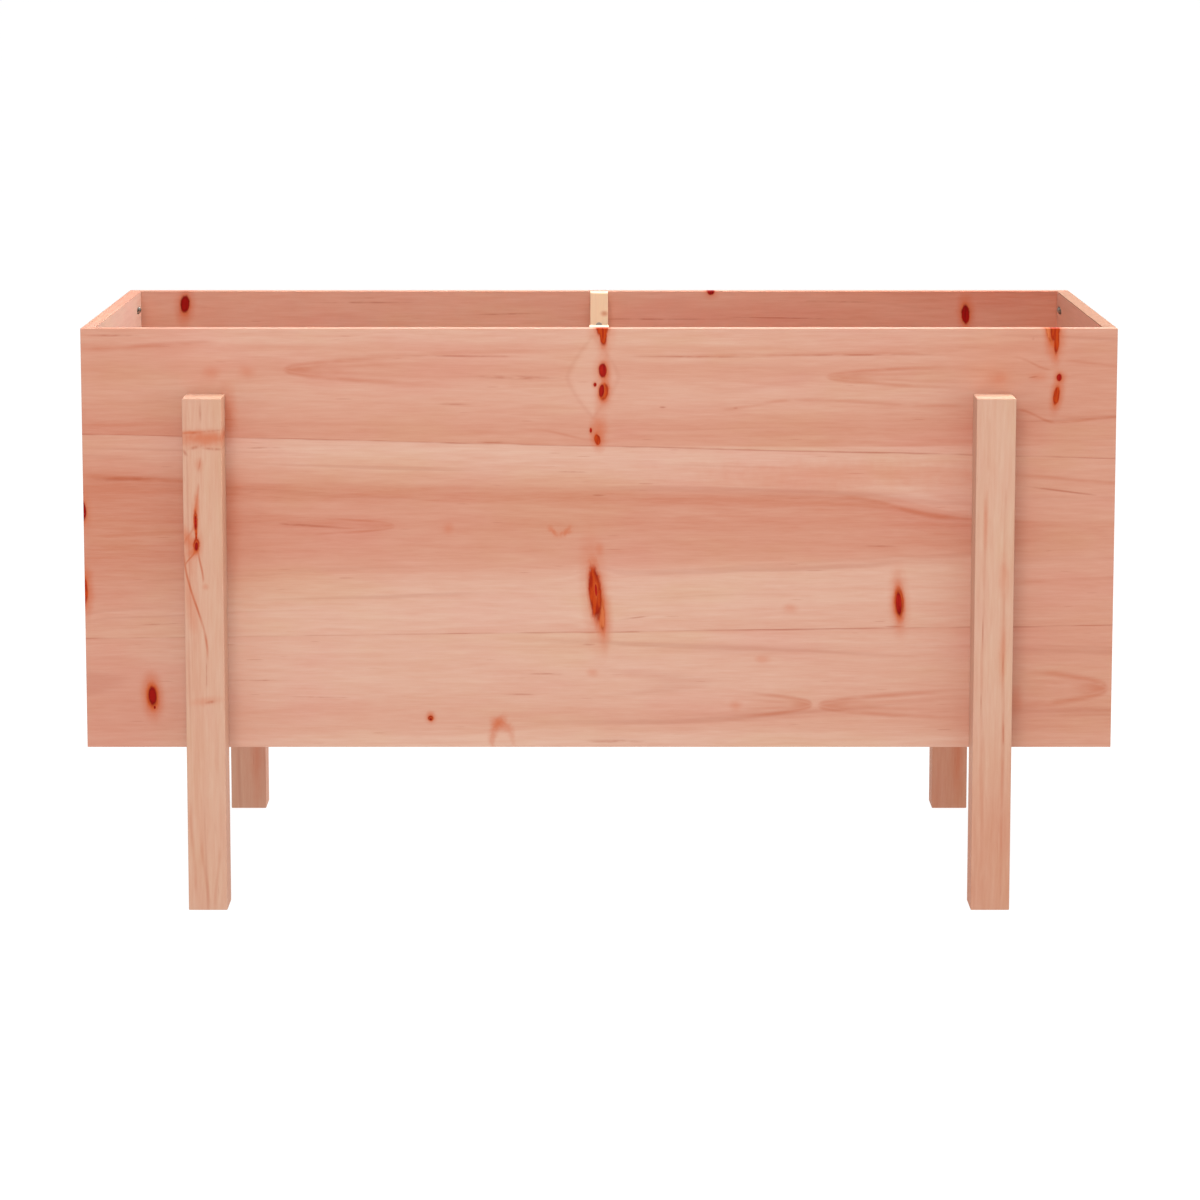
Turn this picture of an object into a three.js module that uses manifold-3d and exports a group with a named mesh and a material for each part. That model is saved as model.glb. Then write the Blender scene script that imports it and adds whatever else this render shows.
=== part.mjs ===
// Raised planter on legs: an open-topped box of wide softwood panels on four square legs.
//
// Millimetres, +Z up. The origin is on the ground, under the middle of the planter.
// +X runs along its length, and the front faces -Y.

import * as THREE from "three";
import * as BufferGeometryUtils from "three/addons/utils/BufferGeometryUtils.js";
import Module from "manifold-3d";

// ---------------------------------------------------------------- driving dimensions

const LENGTH = 1010; // over the front and back panels
const BOX_DEPTH = 420; // over the outer faces of the front and back panels
const RIM_HEIGHT = 570; // from the ground to the top edge
const PANEL_HEIGHT = 415;
const BOARD = 13; // thickness of the wall panels and the floor slats

const LEG_WIDTH = 38; // along the length of the planter
const LEG_DEPTH = 40; // how far a leg stands out from its panel
const LEG_TOP_DROP = 64; // from the rim down to the top of a leg
const LEG_SPACING = 768; // between the middles of two legs on one side

const BATTEN_WIDTH = 19;
const BATTEN_DEPTH = 22;
const LEDGER = 19; // side of the square strips that carry the floor
const SLAT_COUNT = 9;
const SLAT_WIDTH = 100;
const END_PLAY = 0.5; // play at the ends of the floor slats and ledgers
const BATTEN_LIFT = 1; // from the floor up to the lower end of a batten

const LEG_SCREW_HEIGHTS = [200, 330, 460];
const BATTEN_SCREW_DROPS = [35, 185, 335]; // from the rim
const LEDGER_SCREW_PLACES = [-400, -140, 140, 400]; // along the length
const POCKET_DROPS = [19, 190, 350]; // from the rim
const POCKET_SLOPE = THREE.MathUtils.degToRad(15);
const POCKET_SETBACK = 16; // from the end of a side panel to the seat of its pocket screw
const POCKET_LENGTH = 50; // of the drilled pocket, so that it runs out of the board

const SIDES = 8; // facets round a screw or a drilled hole
const CLEARANCE = 0.3; // between a screw and the wood around it
const RECESS = 0.3; // from the wood's surface down to a countersunk head
const CUTTER_RISE = 2; // how far a cutter stands out of the wood

const COUNTERSUNK_LEG_SCREW = {
  headRadius: 4.2, headHeight: 2.4, shankRadius: 2.25, length: 38, tip: 5, pan: false,
};
const COUNTERSUNK_SMALL_SCREW = {
  headRadius: 3.4, headHeight: 2.0, shankRadius: 1.75, length: 28, tip: 4, pan: false,
};
const PAN_HEAD_POCKET_SCREW = {
  headRadius: 4.0, headHeight: 2.6, shankRadius: 1.8, length: 25, tip: 4, pan: true,
};

// ---------------------------------------------------------------- places worked out from them

const PANEL_BOTTOM = RIM_HEIGHT - PANEL_HEIGHT;
const PANEL_MIDDLE = PANEL_BOTTOM + PANEL_HEIGHT / 2;
const INNER_HALF_DEPTH = BOX_DEPTH / 2 - BOARD;
const INNER_HALF_LENGTH = LENGTH / 2 - BOARD;
const LEG_HEIGHT = RIM_HEIGHT - LEG_TOP_DROP;
const SLAT_BOTTOM = PANEL_BOTTOM + LEDGER;
const SLAT_TOP = SLAT_BOTTOM + BOARD;
const BATTEN_BOTTOM = SLAT_TOP + BATTEN_LIFT;
const BATTEN_HEIGHT = RIM_HEIGHT - BATTEN_BOTTOM;
const LEDGER_LENGTH = 2 * (INNER_HALF_LENGTH - END_PLAY);
const SLAT_LENGTH = 2 * (INNER_HALF_DEPTH - END_PLAY);
const SLAT_PITCH = (LEDGER_LENGTH - SLAT_WIDTH) / (SLAT_COUNT - 1);

// front is towards -Y and left is towards -X
const FACES = [["front", -1], ["back", 1]];
const ENDS = [["left", -1], ["right", 1]];

// ---------------------------------------------------------------- materials

const PANEL_WOOD = new THREE.MeshStandardMaterial({ color: 0xdfac96, roughness: 0.65, metalness: 0 });
const LEG_WOOD = new THREE.MeshStandardMaterial({ color: 0xdaa68d, roughness: 0.65, metalness: 0 });
const BATTEN_WOOD = new THREE.MeshStandardMaterial({ color: 0xf3cb9f, roughness: 0.7, metalness: 0 });
const FLOOR_WOOD = new THREE.MeshStandardMaterial({ color: 0xd9a284, roughness: 0.75, metalness: 0 });
const STEEL = new THREE.MeshStandardMaterial({ color: 0xb9b7b2, roughness: 0.35, metalness: 0.9 });

// ---------------------------------------------------------------- cutting with manifold-3d

const wasm = await Module();
wasm.setup();

// Closed solid of a geometry: shared vertices merged, triangles with no area left out.
function solidOf(geometry) {
  const bare = geometry.clone();
  bare.deleteAttribute("normal");
  bare.deleteAttribute("uv");
  const merged = BufferGeometryUtils.mergeVertices(bare);
  const corners = merged.index.array;
  const kept = [];
  for (let i = 0; i < corners.length; i += 3) {
    const [a, b, c] = corners.slice(i, i + 3);
    if (a !== b && b !== c && c !== a) kept.push(a, b, c);
  }
  return new wasm.Manifold(new wasm.Mesh({
    numProp: 3,
    vertProperties: new Float32Array(merged.attributes.position.array),
    triVerts: new Uint32Array(kept),
  }));
}

function geometryOf(solid) {
  const mesh = solid.getMesh();
  const geometry = new THREE.BufferGeometry();
  geometry.setAttribute("position", new THREE.BufferAttribute(mesh.vertProperties, 3));
  geometry.setIndex(new THREE.BufferAttribute(mesh.triVerts, 1));
  geometry.computeVertexNormals();
  return geometry;
}

// ---------------------------------------------------------------- screws and their holes

// A screw points down its own -Y. A countersunk head has its flat top at y = 0, and a
// pan head has its flat seat there.
function screwProfile({ headRadius, headHeight, shankRadius, length, tip, pan }) {
  const shank = [[shankRadius, tip - length], [0, -length]];
  const head = pan
    ? [[0, headHeight], [0.7 * headRadius, headHeight], [headRadius, 0.4 * headHeight], [headRadius, 0], [shankRadius, 0]]
    : [[0, 0], [headRadius, 0], [shankRadius, -headHeight]];
  return [...head, ...shank];
}

// The hole that a screw sits in, with clearance all round. It stands out of the wood at
// the head's end, as far as the pocket runs under a pan head.
function holeProfile({ headRadius, headHeight, shankRadius, length, pan }) {
  const wide = headRadius + CLEARANCE;
  const narrow = shankRadius + CLEARANCE;
  const rise = pan ? POCKET_LENGTH : CUTTER_RISE;
  const seat = pan ? -CLEARANCE : -headHeight - CLEARANCE;
  const shoulder = pan ? seat : -CLEARANCE;
  return [[0, rise], [wide, rise], [wide, shoulder], [narrow, seat], [narrow, -length - CLEARANCE], [0, -length - CLEARANCE]];
}

function turned(profile) {
  const points = profile.map(([radius, height]) => new THREE.Vector2(radius, height));
  return new THREE.LatheGeometry(points.reverse(), SIDES);
}

// Everything that is screwed in: where its head sits, which way it is driven, and the
// boards that it goes through.
function fastener(name, screw, head, drive, boards) {
  const turn = new THREE.Quaternion().setFromUnitVectors(new THREE.Vector3(0, -1, 0), drive.clone().normalize());
  return { name, screw, head, turn, boards };
}

function legScrews() {
  const screws = [];
  for (const [face, toFace] of FACES) {
    for (const [end, toEnd] of ENDS) {
      LEG_SCREW_HEIGHTS.forEach((height, i) => {
        const head = new THREE.Vector3(toEnd * LEG_SPACING / 2, toFace * (INNER_HALF_DEPTH + RECESS), height);
        const drive = new THREE.Vector3(0, toFace, 0);
        const boards = [`${face}_panel`, `${face}_${end}_leg`];
        screws.push(fastener(`${face}_${end}_leg_screw_${i + 1}`, COUNTERSUNK_LEG_SCREW, head, drive, boards));
      });
    }
  }
  return screws;
}

function battenScrews() {
  const screws = [];
  for (const [face, toFace] of FACES) {
    BATTEN_SCREW_DROPS.forEach((drop, i) => {
      const y = toFace * (INNER_HALF_DEPTH - BATTEN_DEPTH + RECESS);
      const head = new THREE.Vector3(0, y, RIM_HEIGHT - drop);
      const boards = [`${face}_panel`, `${face}_centre_batten`];
      const drive = new THREE.Vector3(0, toFace, 0);
      screws.push(fastener(`${face}_batten_screw_${i + 1}`, COUNTERSUNK_SMALL_SCREW, head, drive, boards));
    });
  }
  return screws;
}

function ledgerScrews() {
  const screws = [];
  for (const [face, toFace] of FACES) {
    LEDGER_SCREW_PLACES.forEach((x, i) => {
      const y = toFace * (INNER_HALF_DEPTH - LEDGER + RECESS);
      const head = new THREE.Vector3(x, y, PANEL_BOTTOM + LEDGER / 2);
      const boards = [`${face}_panel`, `${face}_floor_ledger`];
      const drive = new THREE.Vector3(0, toFace, 0);
      screws.push(fastener(`${face}_ledger_screw_${i + 1}`, COUNTERSUNK_SMALL_SCREW, head, drive, boards));
    });
  }
  return screws;
}

// Pocket screws slope through the end of a side panel into the panel that it meets. They
// cross the end in the middle of the board's thickness.
function pocketScrews() {
  const screws = [];
  for (const [face, toFace] of FACES) {
    for (const [end, toEnd] of ENDS) {
      POCKET_DROPS.forEach((drop, i) => {
        const drive = new THREE.Vector3(toEnd * Math.sin(POCKET_SLOPE), toFace * Math.cos(POCKET_SLOPE), 0);
        const crossing = new THREE.Vector3(
          toEnd * (INNER_HALF_LENGTH + BOARD / 2), toFace * INNER_HALF_DEPTH, RIM_HEIGHT - drop);
        const head = crossing.addScaledVector(drive, -POCKET_SETBACK);
        const boards = [`${face}_panel`, `${end}_side_panel`];
        screws.push(fastener(`${face}_${end}_pocket_screw_${i + 1}`, PAN_HEAD_POCKET_SCREW, head, drive, boards));
      });
    }
  }
  return screws;
}

const FASTENERS = [...legScrews(), ...battenScrews(), ...ledgerScrews(), ...pocketScrews()];

// ---------------------------------------------------------------- boards

// A squared board, drilled for every fastener that goes through it.
function board(name, material, [sizeX, sizeY, sizeZ], [x, y, z]) {
  let solid = solidOf(new THREE.BoxGeometry(sizeX, sizeY, sizeZ));
  for (const { screw, head, turn, boards } of FASTENERS) {
    if (!boards.includes(name)) continue;
    const hole = turned(holeProfile(screw));
    hole.applyQuaternion(turn);
    hole.translate(head.x - x, head.y - y, head.z - z);
    solid = solid.subtract(solidOf(hole));
  }
  const mesh = new THREE.Mesh(geometryOf(solid), material);
  mesh.name = name;
  mesh.position.set(x, y, z);
  return mesh;
}

function walls() {
  const group = new THREE.Group();
  for (const [face, toFace] of FACES) {
    const place = [0, toFace * (BOX_DEPTH - BOARD) / 2, PANEL_MIDDLE];
    group.add(board(`${face}_panel`, PANEL_WOOD, [LENGTH, BOARD, PANEL_HEIGHT], place));
  }
  for (const [end, toEnd] of ENDS) {
    const place = [toEnd * (LENGTH - BOARD) / 2, 0, PANEL_MIDDLE];
    group.add(board(`${end}_side_panel`, PANEL_WOOD, [BOARD, 2 * INNER_HALF_DEPTH, PANEL_HEIGHT], place));
  }
  return group;
}

function legs() {
  const group = new THREE.Group();
  for (const [face, toFace] of FACES) {
    for (const [end, toEnd] of ENDS) {
      const place = [toEnd * LEG_SPACING / 2, toFace * (BOX_DEPTH + LEG_DEPTH) / 2, LEG_HEIGHT / 2];
      group.add(board(`${face}_${end}_leg`, LEG_WOOD, [LEG_WIDTH, LEG_DEPTH, LEG_HEIGHT], place));
    }
  }
  return group;
}

function battens() {
  const group = new THREE.Group();
  for (const [face, toFace] of FACES) {
    const place = [0, toFace * (INNER_HALF_DEPTH - BATTEN_DEPTH / 2), BATTEN_BOTTOM + BATTEN_HEIGHT / 2];
    group.add(board(`${face}_centre_batten`, BATTEN_WOOD, [BATTEN_WIDTH, BATTEN_DEPTH, BATTEN_HEIGHT], place));
  }
  return group;
}

function floor() {
  const group = new THREE.Group();
  for (const [face, toFace] of FACES) {
    const place = [0, toFace * (INNER_HALF_DEPTH - LEDGER / 2), PANEL_BOTTOM + LEDGER / 2];
    group.add(board(`${face}_floor_ledger`, FLOOR_WOOD, [LEDGER_LENGTH, LEDGER, LEDGER], place));
  }
  for (let i = 0; i < SLAT_COUNT; i += 1) {
    const place = [(i - (SLAT_COUNT - 1) / 2) * SLAT_PITCH, 0, SLAT_BOTTOM + BOARD / 2];
    group.add(board(`floor_slat_${i + 1}`, FLOOR_WOOD, [SLAT_WIDTH, SLAT_LENGTH, BOARD], place));
  }
  return group;
}

function fasteners() {
  const group = new THREE.Group();
  for (const { name, screw, head, turn } of FASTENERS) {
    const mesh = new THREE.Mesh(turned(screwProfile(screw)), STEEL);
    mesh.name = name;
    mesh.position.copy(head);
    mesh.quaternion.copy(turn);
    group.add(mesh);
  }
  return group;
}

// ---------------------------------------------------------------- the planter

const planter = new THREE.Group();
planter.add(walls(), legs(), battens(), floor(), fasteners());

export default planter;
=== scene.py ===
"""Looks of the raised planter on legs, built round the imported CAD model.

Metres, +Z up, the front faces -Y. Every board carries its own grain coordinates in a mesh
attribute: along the grain, across it and through the board. The wood materials read those.
"""

import math
from dataclasses import dataclass

import bmesh
import bpy
from mathutils import Matrix, Vector


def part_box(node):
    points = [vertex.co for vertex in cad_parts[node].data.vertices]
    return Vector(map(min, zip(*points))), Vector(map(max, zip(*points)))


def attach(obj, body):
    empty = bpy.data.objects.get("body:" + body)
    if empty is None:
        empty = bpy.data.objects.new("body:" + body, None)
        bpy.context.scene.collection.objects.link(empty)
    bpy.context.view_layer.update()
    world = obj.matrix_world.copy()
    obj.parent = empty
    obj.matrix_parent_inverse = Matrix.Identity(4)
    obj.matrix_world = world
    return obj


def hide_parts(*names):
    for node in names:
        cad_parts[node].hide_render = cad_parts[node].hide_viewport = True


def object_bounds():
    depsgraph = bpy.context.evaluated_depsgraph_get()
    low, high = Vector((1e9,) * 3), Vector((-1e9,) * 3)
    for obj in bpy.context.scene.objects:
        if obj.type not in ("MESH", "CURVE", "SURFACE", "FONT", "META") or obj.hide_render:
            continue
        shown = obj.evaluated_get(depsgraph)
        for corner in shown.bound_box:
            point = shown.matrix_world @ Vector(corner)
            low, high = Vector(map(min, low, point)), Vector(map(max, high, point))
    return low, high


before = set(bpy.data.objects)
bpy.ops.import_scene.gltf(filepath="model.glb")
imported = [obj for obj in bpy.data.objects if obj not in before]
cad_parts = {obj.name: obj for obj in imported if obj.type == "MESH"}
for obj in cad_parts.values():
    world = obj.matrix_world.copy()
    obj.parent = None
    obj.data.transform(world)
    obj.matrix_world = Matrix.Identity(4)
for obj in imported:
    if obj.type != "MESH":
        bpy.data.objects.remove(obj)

CAD_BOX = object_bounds()
MM = 0.001
BODY = "root"
X, Y, Z = Vector((1, 0, 0)), Vector((0, 1, 0)), Vector((0, 0, 1))

# -------------------------------- sizes and names

RIM = CAD_BOX[1].z
PANEL_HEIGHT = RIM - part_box("front_panel")[0].z
FACES = {"front": -1, "back": 1}  # which way along Y each one looks
ENDS = {"left": -1, "right": 1}  # and along X
SLATS = sorted(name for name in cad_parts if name.startswith("floor_slat"))
SCREWS = sorted(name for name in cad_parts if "_screw_" in name)

PANEL_EDGE = 0.6 * MM  # how far the edges are rounded
LEG_EDGE = 1.0 * MM
SLAT_EDGE = 0.8 * MM
EDGE_STEPS = 3
SHARP_ANGLE = math.radians(40)
END_GRAIN_COSINE = 0.8  # between a face's normal and the grain, where the face shows end grain

CUTTER_RISE = 2 * MM  # how far a cutter stands out of the wood
COUNTERSINK_DEPTH = 12 * MM
COUNTERSINK_STEPS = 32
POCKET_SLOPE = math.radians(15)
POCKET_SETBACK = 16 * MM  # from the end of a side panel to the seat of its screw
POCKET_RADIUS = 4.4 * MM
POCKET_LENGTH = 50 * MM  # so that it runs out of the board
POCKET_STEPS = 40

SCREW_STEPS = 24
SCREW_TIP = 5 * MM
POCKET_SCREW_LENGTH = 25 * MM
THREAD_PITCH = 2 * MM
THREAD_RINGS = 4  # to one turn of the thread
THREAD_CORE = 0.72  # radius between the ridges, as a share of the shank's
SMOOTH_SHARE = 0.3  # of the shank, under the head, has no thread
SMOOTH_RADIUS = 0.8  # of that stretch, as a share of the shank's

NAIL_HEAD = 2.3 * MM
NAIL_SHANK = 1.1 * MM
NAIL_RIM = 0.6 * MM  # from the top of a nail head to the foot of its rim
NAIL_SINK = 1.1 * MM  # and to its underside
NAIL_LENGTH = 28 * MM
NAIL_TIP = 3 * MM
NAIL_SPREAD = 35 * MM  # sideways from the middle of a slat
NAIL_HOLE_STEPS = 20

LEDGER_STRETCH = 1.5  # where along the floor's wood the ledgers are cut, in metres
SLAT_STRETCH = 3.0  # from one slat's cut to the next

GROUND_HALF = 200
LIGHTS_AIM = Vector((0, 0, 0.35))
# lens, place and tilt come from a least-squares fit to the reference's corners
LENS = 119.6  # in mm on a 36 mm sensor
LENS_SHIFT = (0.0008, -0.10)
CAMERA_PLACE = (0, -4.0732, 0.9527)
CAMERA_TILT = math.radians(7.834)  # downwards


# -------------------------------- node trees as arithmetic


class Value:
    """A number in a material. Arithmetic on it adds Math nodes."""

    def __init__(self, shader, socket):
        self.shader = shader
        self.socket = socket

    def __add__(self, other):
        return self.shader.math("ADD", self, other)

    def __sub__(self, other):
        return self.shader.math("SUBTRACT", self, other)

    def __rsub__(self, other):
        return self.shader.math("SUBTRACT", other, self)

    def __mul__(self, other):
        return self.shader.math("MULTIPLY", self, other)

    def __truediv__(self, other):
        return self.shader.math("DIVIDE", self, other)

    def __abs__(self):
        return self.shader.math("ABSOLUTE", self)

    def at_least(self, other):
        return self.shader.math("MAXIMUM", self, other)

    def at_most(self, other):
        return self.shader.math("MINIMUM", self, other)

    __radd__ = __add__
    __rmul__ = __mul__


class Shader:
    """A new material, with short words for adding nodes to it."""

    def __init__(self, name):
        self.material = bpy.data.materials.new(name)
        self.material.use_nodes = True
        self.tree = self.material.node_tree
        self.surface = self.tree.nodes["Principled BSDF"]

    def node(self, kind, **settings):
        made = self.tree.nodes.new("ShaderNode" + kind)
        for key, value in settings.items():
            setattr(made, key, value)
        return made

    def feed(self, socket, value):
        """Links a value or a socket, or sets a plain number or colour."""
        if isinstance(value, Value):
            value = value.socket
        if isinstance(value, bpy.types.NodeSocket):
            self.tree.links.new(value, socket)
        elif isinstance(value, tuple) and len(value) == 3 and socket.type == "RGBA":
            socket.default_value = (*value, 1)
        else:
            socket.default_value = value

    def math(self, operation, *values):
        made = self.node("Math", operation=operation)
        for socket, value in zip(made.inputs, values):
            self.feed(socket, value)
        return Value(self, made.outputs[0])

    def attribute(self, name):
        return self.node("Attribute", attribute_name=name)

    def split(self, place):
        made = self.node("SeparateXYZ")
        self.feed(made.inputs[0], place)
        return [Value(self, output) for output in made.outputs]

    def join(self, *parts):
        made = self.node("CombineXYZ")
        for socket, value in zip(made.inputs, parts):
            self.feed(socket, value)
        return made.outputs[0]

    def noise(self, place, detail=2.0, roughness=0.5):
        """Smooth noise round 0.5, one blob to a unit of place."""
        made = self.node("TexNoise", noise_dimensions="3D")
        self.feed(made.inputs["Vector"], place)
        self.feed(made.inputs["Scale"], 1.0)
        self.feed(made.inputs["Detail"], detail)
        self.feed(made.inputs["Roughness"], roughness)
        return Value(self, made.outputs["Fac"])

    def step(self, value, low, high):
        """0 at low, 1 at high and smooth between them, whichever is the larger."""
        if low > high:
            return 1 - self.step(value, high, low)
        made = self.node("MapRange", interpolation_type="SMOOTHSTEP")
        self.feed(made.inputs["Value"], value)
        self.feed(made.inputs["From Min"], low)
        self.feed(made.inputs["From Max"], high)
        return Value(self, made.outputs["Result"])

    def curve(self, value, points):
        """A number that follows (value, result) points, with the results from 0 to 1."""
        made = self.node("ValToRGB")
        made.color_ramp.interpolation = "EASE"
        stops = made.color_ramp.elements
        while len(stops) < len(points):
            stops.new(0.5)
        for stop, (at, result) in zip(stops, points):
            stop.position = at
            stop.color = (1, 1, 1, result)
        self.feed(made.inputs["Fac"], value)
        return Value(self, made.outputs["Alpha"])

    def mix(self, share, first, second, blend="MIX"):
        made = self.node("Mix", data_type="RGBA", blend_type=blend)
        self.feed(made.inputs[0], share)
        self.feed(made.inputs[6], first)
        self.feed(made.inputs[7], second)
        return made.outputs[2]

    def fit(self, place, centre, size):
        """Moves and scales the first two parts of a place, so that an ellipse becomes a unit circle."""
        made = self.node("VectorMath", operation="MULTIPLY_ADD")
        self.feed(made.inputs[0], place)
        made.inputs[1].default_value = (1 / size[0], 1 / size[1], 0)
        made.inputs[2].default_value = (-centre[0] / size[0], -centre[1] / size[1], 0)
        return made.outputs[0]

    def length(self, place):
        made = self.node("VectorMath", operation="LENGTH")
        self.feed(made.inputs[0], place)
        return Value(self, made.outputs["Value"])

    def rotated(self, place, angle):
        """The first two parts of a place, seen along axes turned by an angle."""
        parts = []
        for axis in ((math.cos(angle), math.sin(angle), 0), (-math.sin(angle), math.cos(angle), 0)):
            made = self.node("VectorMath", operation="DOT_PRODUCT")
            self.feed(made.inputs[0], place)
            made.inputs[1].default_value = axis
            parts.append(Value(self, made.outputs["Value"]))
        return self.join(*parts)


def srgb(red, green, blue):
    """A display colour of 0 to 255 as linear light."""
    def linear(channel):
        c = channel / 255
        return c / 12.92 if c <= 0.04045 else ((c + 0.055) / 1.055) ** 2.4

    return (linear(red), linear(green), linear(blue))


# -------------------------------- wood

PINE = {"pale": srgb(214, 174, 154), "middle": srgb(205, 151, 129), "red": srgb(190, 116, 90)}
LEG_PINE = {"pale": srgb(211, 178, 155), "middle": srgb(203, 155, 131), "red": srgb(189, 121, 92)}
SAPWOOD = {"pale": srgb(238, 215, 181), "middle": srgb(240, 199, 160), "red": srgb(222, 164, 124)}
WIDE_KNOT = 3  # half width in mm from which a knot bends the grain
PINKISH = (1.0, 0.955, 0.975)  # these two multiply the wood's colour
YELLOWISH = (0.985, 1.0, 0.95)
LINE = srgb(160, 74, 46)
AMBER = srgb(192, 88, 42)
FIBRE = srgb(176, 110, 82)
LATEWOOD = srgb(178, 86, 48)

# body, stripes and rim of each kind of knot, from the one drawn first to the one drawn last
KNOT_COLOURS = {
    "pale": (srgb(208, 120, 76), srgb(196, 98, 54), srgb(140, 48, 20)),
    "rust": (srgb(182, 62, 14), srgb(158, 38, 8), srgb(132, 26, 8)),
    "red": (srgb(164, 26, 14), srgb(140, 14, 8), srgb(112, 12, 6)),
    "dark": (srgb(148, 13, 6), srgb(126, 8, 4), srgb(106, 10, 5)),
}


@dataclass
class Look:
    """What one board's wood shows. Places and lengths are in mm, along and across its grain.

    tone, spread: how red the wood is, and how much its broad rings change that.
    pith: how far the middle of the tree lies across and behind the face, and how far it moves
        across from one glued stave to the next.
    seams: glue joints, each (across at the middle of the board, slope).
    bands: a function of the shader and the grain that says how much redder a place is.
    palette: its pale, middle and red colours, or None for PINE.
    knots, glows, blushes, streaks: spots, each (along, across, half length along the grain,
    half width across it, turn in degrees). The glow and blush spots are orange patches of
    the wood, and a few of them are painted shade beside a leg.
    bends: lines that swing sideways, each (start along, start across, end along, end across,
        half width, strength).
    arches: cathedral figures, each (tip along, tip across, which way it opens, how far its
        arms spread, how long they are).
    crescents: each (along, across, half length, half width, where its hollow lies from there).
    diamonds: each (along, across, half length, half width).
    """
    seed: float = 0.0
    tone: float = 0.35
    spread: float = 0.28
    pith: tuple = (60, 90, 0)
    seams: tuple = ()
    bands: object = None
    palette: dict = None
    dark_knots: tuple = ()
    red_knots: tuple = ()
    rust_knots: tuple = ()
    pale_knots: tuple = ()
    glows_and_shade: tuple = ()
    blushes_and_shade: tuple = ()
    streaks: tuple = ()
    bends: tuple = ()
    arches: tuple = ()
    crescents: tuple = ()
    diamonds: tuple = ()


class Grain:
    """Where a point lies in its board, and how the fibres wander there."""

    def __init__(self, shader, look):
        self.shader = shader
        self.place = shader.attribute("grain").outputs["Vector"]
        self.along, self.across, self.through = shader.split(self.place)
        self.joints = []
        self.stave = None
        for middle, slope in look.seams:
            beyond = self.across - self.along * slope - middle * MM
            self.joints.append(abs(beyond))
            side = shader.math("GREATER_THAN", beyond, 0.0)
            self.stave = side if self.stave is None else self.stave + side
        self.seed = look.seed if self.stave is None else self.stave * 3.7 + look.seed
        slow = self.noise(2.2, 7, 2.0, 0.45)
        quick = self.noise(8, 40, 2.0, 0.5)
        self.wander = (slow - 0.5) * 0.014 + (quick - 0.5) * 0.0022
        self.bent = shader.join(self.along, self.across + self.wander * 0.5, 0.0)

    def noise(self, along, across, detail, roughness):
        """Noise with so many blobs to a metre along and across the grain."""
        place = self.shader.join(self.along * along, self.across * across, self.seed)
        return self.shader.noise(place, detail, roughness)

    def fibres(self, along, across, detail, roughness):
        """The same, but running through the board as well, so that its edges fit its faces."""
        place = self.shader.join(self.along * along, self.across * across, self.through * across)
        return self.shader.noise(place, detail, roughness)


def nearest(shader, place, spots):
    """How far the nearest spot is, where 1 is its edge."""
    found = None
    for turn in sorted({spot[4] for spot in spots}):
        angle = math.radians(turn)
        cosine, sine = math.cos(angle), math.sin(angle)
        seen = shader.rotated(place, angle) if turn else place
        for along, across, length, width, _ in (spot for spot in spots if spot[4] == turn):
            centre = ((cosine * along + sine * across) * MM, (cosine * across - sine * along) * MM)
            distance = shader.length(shader.fit(seen, centre, (length * MM, width * MM)))
            found = distance if found is None else found.at_most(distance)
    return found


def flow_round(shader, grain, knots):
    """Bends the grain round each wide knot: what lies above goes higher, what lies below lower."""
    for along, across, length, width, _ in knots:
        if width < WIDE_KNOT:
            continue
        reach = (3.2 * length * MM, 1.6 * width * MM)
        x, y, _ = shader.split(shader.fit(grain.place, (along * MM, across * MM), reach))
        push = y * shader.math("EXPONENT", (x * x + y * y) * -1.0)
        grain.wander = grain.wander - push * (0.3 * width * MM)


def growth(shader, grain, look):
    """How red the wood is and how dark its thin rings are, from the rings that its faces cut."""
    across, behind, stave_step = look.pith
    pith = across * MM if grain.stave is None else grain.stave * (stave_step * MM) + across * MM
    sideways = grain.across - pith + grain.wander
    deep = grain.through + grain.wander * 0.6 + behind * MM
    rings = shader.math("SQRT", sideways * sideways + deep * deep) + grain.along * 0.012 + grain.seed
    broad = shader.noise(shader.join(rings * 45, grain.along * 0.9, grain.seed), 1.0, 0.5)
    fine = shader.noise(shader.join(rings * 190, grain.along * 1.8, grain.seed), 2.0, 0.6)
    thin = shader.noise(shader.join(rings * 330, grain.along * 2.6, grain.seed), 1.0, 0.5)
    flecks = grain.fibres(20, 240, 3.0, 0.7)
    red = (broad - 0.5) * (2 * look.spread) + (fine - 0.5) * 0.34 + (flecks - 0.5) * 0.5 + look.tone
    if look.bands is not None:
        red = red + look.bands(shader, grain)
    return red, shader.step(thin, 0.62, 0.82) * 0.22


def tint(shader, grain, look, red):
    """Pale to reddish wood, with pinkish and yellowish patches."""
    palette = look.palette or PINE
    colour = shader.mix(shader.step(red, 0.0, 0.6), palette["pale"], palette["middle"])
    colour = shader.mix(shader.step(red, 0.42, 1.15), colour, palette["red"])
    patch = grain.noise(6, 14, 3.0, 0.55)
    pinkish = shader.mix(1.0, colour, PINKISH, "MULTIPLY")
    yellowish = shader.mix(1.0, colour, YELLOWISH, "MULTIPLY")
    colour = shader.mix(shader.step(patch, 0.50, 0.68), colour, pinkish)
    return shader.mix(shader.step(patch, 0.50, 0.32), colour, yellowish)


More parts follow.
